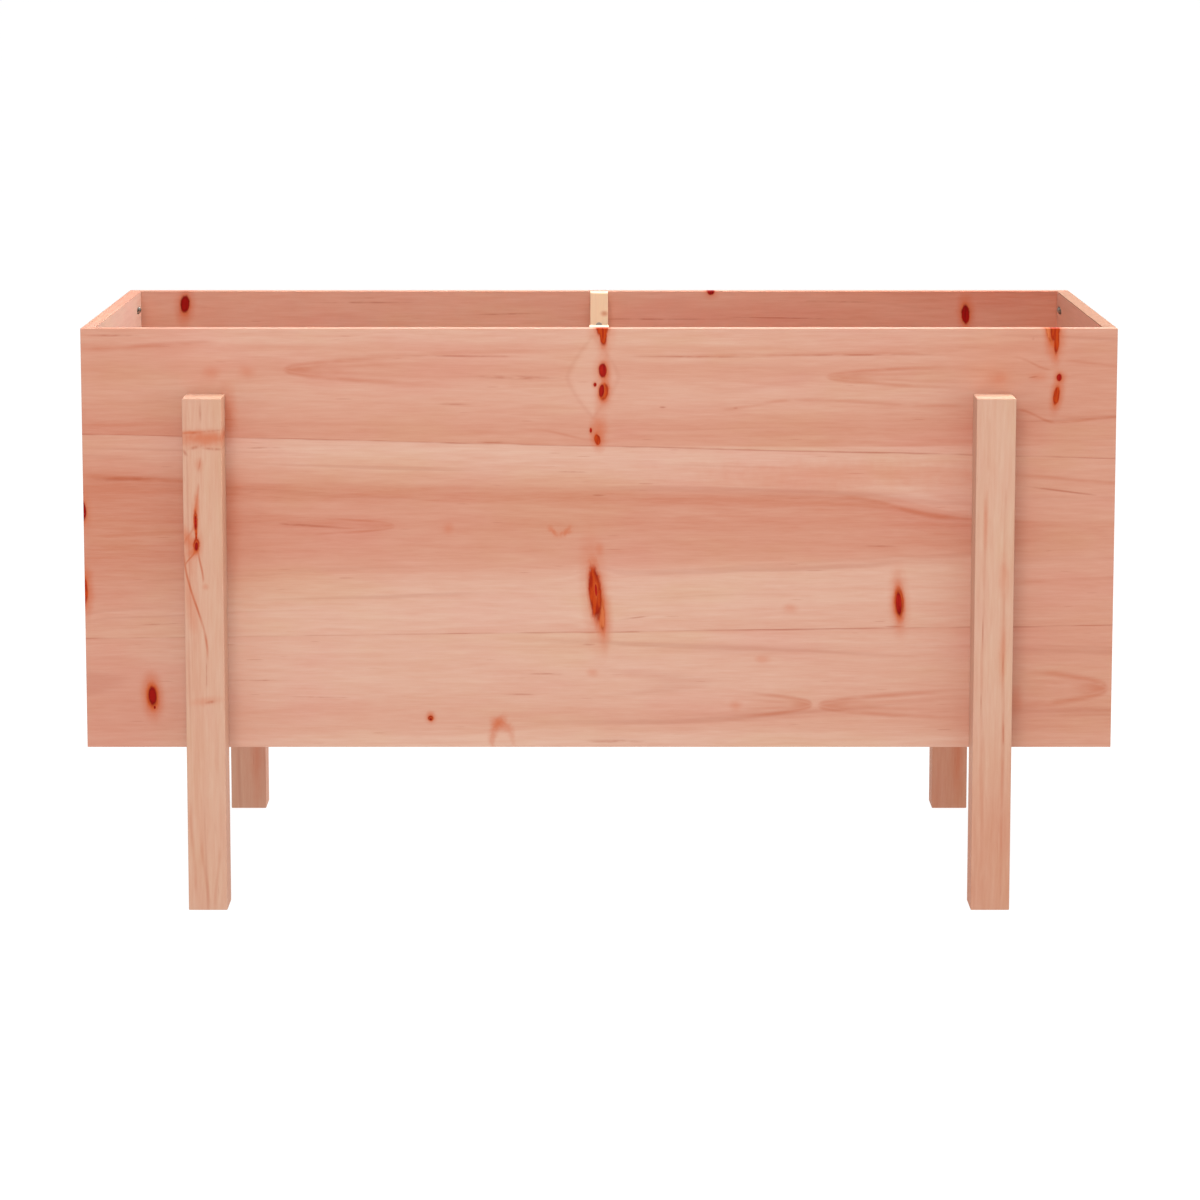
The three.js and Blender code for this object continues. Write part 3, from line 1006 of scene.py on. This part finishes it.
RIGHT_LEG_LOOK = Look(
    seed=54.0, tone=0.40, spread=0.16, pith=(-26, 50, 0), palette=LEG_PINE, bands=redder_foot,
    blushes_and_shade=((175, 9, 22, 5, 0), (250, 9, 30, 4, 0), (120, -9, 30, 2.4, 0)),
    streaks=((230, -10, 20, 1, 0), (262, 10, 14, 1, 0), (330, 10.5, 16, 1, 0), (300, -11, 14, 1, 0)),
    bends=(
        (20, -7, 70, -7, 2.6, 0.14), (100, -9, 220, -10, 2.4, 0.24), (90, 10, 170, 9, 2.4, 0.22),
        (190, 10, 300, 10, 2.6, 0.28), (280, 10.5, 480, 10, 2.6, 0.34), (240, -11, 400, -10, 2.4, 0.22),
        (330, -9, 490, -9, 3.0, 0.22)),
)


def back_leg_look(side):
    return Look(
        seed=70.0 + 5 * side, tone=0.60 + 0.12 * side, spread=0.2, pith=(-20 * side, 45, 0),
        palette=LEG_PINE,
        blushes_and_shade=((452, 9, 50, 6, 0), (460, 8, 40, 3, 0)),
        bends=((30, -6, 180, -8, 2.6, 0.3), (120, 9, 300, 7, 2.8, 0.34), (280, -4, 440, -8, 2.6, 0.3)),
    )


def leg(face, end, look):
    out = FACES[face]
    node = f"{face}_{end}_leg"
    low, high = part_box(node)
    outer = low.y if out < 0 else high.y
    origin = ((low.x + high.x) / 2, outer, high.z)
    board(node, wood(node + "_wood", look), LEG_EDGE, origin, (-Z, X, Y * -out))


def legs():
    leg("front", "left", LEFT_LEG_LOOK)
    leg("front", "right", RIGHT_LEG_LOOK)
    for end, side in ENDS.items():
        leg("back", end, back_leg_look(side))


# -------------------------------- battens and floor


def battens():
    for face, out in FACES.items():
        node = f"{face}_centre_batten"
        low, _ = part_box(node)
        look = Look(seed=80.0 + 3 * out, tone=0.12, spread=0.2, pith=(20, 40, 0), palette=SAPWOOD,
                    glows_and_shade=((22, 6, 3, 4, 0),))
        material = wood(node + "_wood", look)
        board(node, material, PANEL_EDGE, (0, low.y, RIM), (-Z, X, Y))


FLOOR_LOOK = Look(
    seed=90.0, tone=0.45, pith=(30, 70, 0),
    red_knots=((60, 12, 5, 7, 0), (3060, -20, 6, 8, 0), (6120, 25, 5, 6, 0)),
)


def floor_boards():
    """The floor's boards share one wood. Each shows another stretch of it."""
    material = wood("floor_wood", FLOOR_LOOK)
    for face in FACES:
        node = f"{face}_floor_ledger"
        low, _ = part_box(node)
        board(node, material, PANEL_EDGE, (0, low.y, low.z), (X, Z, Y), LEDGER_STRETCH)
    for i, slat in enumerate(SLATS):
        low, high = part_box(slat)
        origin = ((low.x + high.x) / 2, 0, high.z)
        board(slat, material, SLAT_EDGE, origin, (Y, X, -Z), SLAT_STRETCH * i)


long_panel("front_panel", FRONT_LOOK)
long_panel("back_panel", BACK_LOOK)
side_panels()
legs()
battens()
floor_boards()


# -------------------------------- screws and nails: steel


def steel():
    shader = Shader("zinc_steel")
    along, across, through = shader.split(shader.attribute("grain").outputs["Vector"])
    mottled = shader.noise(shader.join(along * 900, across * 900, through * 900), 3.0, 0.6)
    colour = shader.mix(mottled, srgb(138, 136, 131), srgb(186, 183, 172))
    shader.feed(shader.surface.inputs["Base Color"], colour)
    shader.feed(shader.surface.inputs["Metallic"], 1.0)
    shader.feed(shader.surface.inputs["Roughness"], mottled * 0.25 + 0.32)
    return shader.material


STEEL = steel()


def head_profile(screw):
    """(radius, height) points over a screw's head, from its middle to its underside."""
    radius, height = screw.size.head_radius, screw.size.head_height
    if screw.pocket:
        return [(0, height), (0.45 * radius, 0.96 * height), (0.75 * radius, 0.8 * height),
                (0.95 * radius, 0.5 * height), (radius, 0.2 * height), (0.98 * radius, 0)]
    return [(0, 0), (0.94 * radius, 0), (radius, -0.12 * MM), (radius, -0.3 * MM)]


def cut_thread(solid, top, bottom):
    """Raises a helical ridge on the rings of a turned solid between two heights."""
    for vertex in solid.verts:
        radius = math.hypot(vertex.co.x, vertex.co.y)
        if radius == 0 or not bottom <= vertex.co.z <= top:
            continue
        turn = math.atan2(vertex.co.y, vertex.co.x) / (2 * math.pi)
        phase = (vertex.co.z / THREAD_PITCH - turn) % 1.0
        ridge = max(0.0, 1 - abs(phase - 0.5) * 4)
        scale = THREAD_CORE + (1 - THREAD_CORE) * ridge
        vertex.co.x *= scale
        vertex.co.y *= scale


def cut_cross(mesh, head_radius, top):
    """Cuts a cross recess, whose two slots narrow downwards, into the top of a screw."""
    long, wide, deep = 1.1 * head_radius, 0.26 * head_radius, 3.6 * MM
    for turn in (0, math.pi / 2):
        blade = bmesh.new()
        bmesh.ops.create_cube(blade, size=1.0)
        for vertex in blade.verts:
            narrowing = 1.0 if vertex.co.z > 0 else 0.35
            vertex.co = (vertex.co.x * long * narrowing, vertex.co.y * wide, vertex.co.z * deep)
        mesh = cut(mesh, [(blade, Matrix.Translation((0, 0, top)) @ Matrix.Rotation(turn, 4, "Z"))])
    return mesh


def screw_mesh(screw):
    """A screw that points down -Z, with a cross recess in its head and a thread on its shank."""
    shank = screw.size.shank_radius
    start = 0.0 if screw.pocket else -screw.size.head_height
    thread_top = start - SMOOTH_SHARE * (screw.length + start)
    tip = SCREW_TIP - screw.length
    rings = int((thread_top - tip) / THREAD_PITCH * THREAD_RINGS)
    profile = head_profile(screw)
    profile += [(SMOOTH_RADIUS * shank, start), (SMOOTH_RADIUS * shank, thread_top)]
    profile += [(shank, thread_top + (tip - thread_top) * (i + 1) / rings) for i in range(rings)]
    profile += [(shank * (1 - share), tip - SCREW_TIP * share) for share in (0.25, 0.5, 0.75)]
    profile += [(0, -screw.length)]
    solid = turned(profile, SCREW_STEPS)
    first_ridge = thread_top - 0.1 * MM  # just below the smooth stretch
    cut_thread(solid, first_ridge, -screw.length)
    top = screw.size.head_height if screw.pocket else 0.0
    return finished(cut_cross(mesh_of(solid, "screw"), screw.size.head_radius, top), STEEL)


def screws():
    meshes = {}
    for screw in ALL_SCREWS:
        if screw.size not in meshes:
            meshes[screw.size] = screw_mesh(screw)
        made = new_object(screw.name + "_steel", meshes[screw.size])
        made.matrix_world = screw.matrix()
        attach(made, BODY)
        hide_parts(screw.name)


def nails():
    """Nails that hold the floor slats down on the ledgers."""
    profile = [(0, 0), (0.85 * NAIL_HEAD, 0), (NAIL_HEAD, -0.15 * MM), (NAIL_HEAD, -NAIL_RIM),
               (NAIL_SHANK, -NAIL_SINK), (NAIL_SHANK, NAIL_TIP - NAIL_LENGTH), (0, -NAIL_LENGTH)]
    mesh = finished(mesh_of(turned(profile, SCREW_STEPS), "nail"), STEEL)
    for slat in SLATS:
        for i, place in enumerate(nail_places(slat)):
            made = new_object(f"{slat}_nail_{i + 1}", mesh)
            made.matrix_world = Matrix.Translation(place)
            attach(made, BODY)


screws()
nails()


# -------------------------------- studio


def sky():
    """Soft light all round: white near the horizon, dimmer above it."""
    world = bpy.data.worlds.new("studio")
    bpy.context.scene.world = world
    world.use_nodes = True
    tree = world.node_tree
    background = tree.nodes["Background"]
    place = tree.nodes.new("ShaderNodeTexCoord")
    split = tree.nodes.new("ShaderNodeSeparateXYZ")
    fade = tree.nodes.new("ShaderNodeMapRange")
    fade.interpolation_type = "SMOOTHSTEP"
    tree.links.new(place.outputs["Generated"], split.inputs[0])
    tree.links.new(split.outputs["Z"], fade.inputs["Value"])
    for socket, value in (("From Min", 0.15), ("From Max", 0.35), ("To Min", 1.0), ("To Max", 0.30)):
        fade.inputs[socket].default_value = value
    tree.links.new(fade.outputs["Result"], background.inputs["Strength"])
    background.inputs["Color"].default_value = (1, 1, 1, 1)


def ground():
    """A plain floor that glows a little less than white, so that it takes only faint shadows."""
    shader = Shader("pale_floor")
    shader.feed(shader.surface.inputs["Base Color"], (0.1, 0.1, 0.1))
    shader.feed(shader.surface.inputs["Roughness"], 0.9)
    shader.feed(shader.surface.inputs["Specular IOR Level"], 0.0)
    shader.feed(shader.surface.inputs["Emission Color"], (1.0, 1.0, 1.0))
    shader.feed(shader.surface.inputs["Emission Strength"], 0.97)
    mesh = bpy.data.meshes.new("floor")
    corners = [(x * GROUND_HALF, y * GROUND_HALF, 0) for x, y in ((-1, -1), (1, -1), (1, 1), (-1, 1))]
    mesh.from_pydata(corners, [], [(0, 1, 2, 3)])
    mesh.materials.append(shader.material)
    new_object("ground", mesh)


def lamp(name, spot, size, power):
    light = bpy.data.lights.new(name, "AREA")
    light.size = size
    light.energy = power
    made = new_object(name, light)
    made.location = spot
    aim = LIGHTS_AIM - Vector(spot)
    made.rotation_euler = aim.to_track_quat("-Z", "Y").to_euler()


def studio():
    sky()
    ground()
    lamp("top_light", spot=(0.7, 0.1, 3.0), size=1.3, power=106)
    lamp("front_light", spot=(-0.6, -4.8, 3.3), size=2.4, power=134)
    lamp("back_light", spot=(1.2, 4.8, 2.4), size=2.4, power=62)


def camera():
    lens = bpy.data.cameras.new("camera")
    lens.lens = LENS
    lens.sensor_width = 36
    lens.shift_x, lens.shift_y = LENS_SHIFT
    lens.clip_end = 1000
    made = new_object("camera", lens)
    made.location = CAMERA_PLACE
    made.rotation_euler = (math.radians(90) - CAMERA_TILT, 0, 0)
    bpy.context.scene.camera = made


studio()
camera()
bpy.context.scene.view_settings.view_transform = "Standard"
